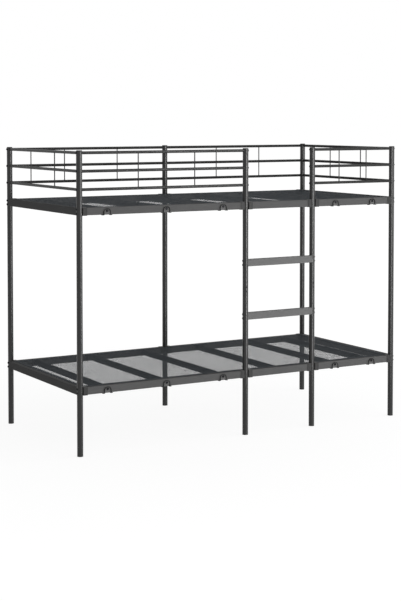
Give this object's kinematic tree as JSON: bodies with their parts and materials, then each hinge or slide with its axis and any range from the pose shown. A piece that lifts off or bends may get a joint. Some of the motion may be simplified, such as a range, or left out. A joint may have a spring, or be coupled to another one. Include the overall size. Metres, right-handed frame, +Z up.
{
  "type": "metal bunk bed",
  "caption": "Metal bunk bed with round posts, mesh decks on box rails and cross bars, guard rails round the upper deck and rungs between the ladder posts.",
  "frame": {"origin": "on the floor, in the middle of the bed's length and width", "axes": "+X along the bed's length towards the right end as seen from the ladder side, +Y from the ladder side to the back, +Z up"},
  "size_m": [2.079, 0.971, 1.605],
  "materials": {
    "post_coating": "satin black powder coat",
    "rail_coating": "satin black powder coat",
    "guard_coating": "satin black powder coat",
    "cross_bar_coating": "satin black powder coat",
    "mesh_coating": "satin black powder coat",
    "bracket_coating": "satin black powder coat",
    "rung_coating": "satin black powder coat",
    "cap_plastic": "moulded black plastic",
    "fastener_steel": "blackened steel",
    "inner_steel": "plain steel"
  },
  "bodies": {
    "root": {"back_left_guard": "guard_coating", "back_right_guard": "guard_coating", "bar_bolts": "fastener_steel", "bar_saddles": "bracket_coating", "foot_caps": "cap_plastic", "front_left_guard": "guard_coating", "front_right_guard": "guard_coating", "left_end_guard": "guard_coating", "lower_cross_bar_1": "cross_bar_coating", "lower_cross_bar_2": "cross_bar_coating", "lower_cross_bar_3": "cross_bar_coating", "lower_cross_bar_4": "cross_bar_coating", "lower_cross_bar_5": "cross_bar_coating", "lower_cross_bar_6": "cross_bar_coating", "lower_mesh": "mesh_coating", "lower_post_back_left": "post_coating", "lower_post_back_middle": "post_coating", "lower_post_back_right": "post_coating", "lower_post_front_left": "post_coating", "lower_post_front_right": "post_coating", "lower_post_ladder_left": "post_coating", "lower_post_ladder_right": "post_coating", "lower_rail_back_left": "rail_coating", "lower_rail_back_right": "rail_coating", "lower_rail_front_ladder": "rail_coating", "lower_rail_front_left": "rail_coating", "lower_rail_front_right": "rail_coating", "lower_rail_left_end": "rail_coating", "lower_rail_right_end": "rail_coating", "post_bolts": "fastener_steel", "post_joint_screws": "fastener_steel", "post_joint_sleeves": "inner_steel", "post_studs": "fastener_steel", "post_top_caps": "cap_plastic", "rail_end_brackets": "bracket_coating", "right_end_guard": "guard_coating", "rung_1": "rung_coating", "rung_2": "rung_coating", "rung_end_inserts": "inner_steel", "upper_cross_bar_1": "cross_bar_coating", "upper_cross_bar_2": "cross_bar_coating", "upper_cross_bar_3": "cross_bar_coating", "upper_cross_bar_4": "cross_bar_coating", "upper_cross_bar_5": "cross_bar_coating", "upper_cross_bar_6": "cross_bar_coating", "upper_mesh": "mesh_coating", "upper_post_back_left": "post_coating", "upper_post_back_middle": "post_coating", "upper_post_back_right": "post_coating", "upper_post_front_left": "post_coating", "upper_post_front_right": "post_coating", "upper_post_ladder_left": "post_coating", "upper_post_ladder_right": "post_coating", "upper_rail_back_left": "rail_coating", "upper_rail_back_right": "rail_coating", "upper_rail_front_ladder": "rail_coating", "upper_rail_front_left": "rail_coating", "upper_rail_front_right": "rail_coating", "upper_rail_left_end": "rail_coating", "upper_rail_right_end": "rail_coating"}
  },
  "joints": []
}
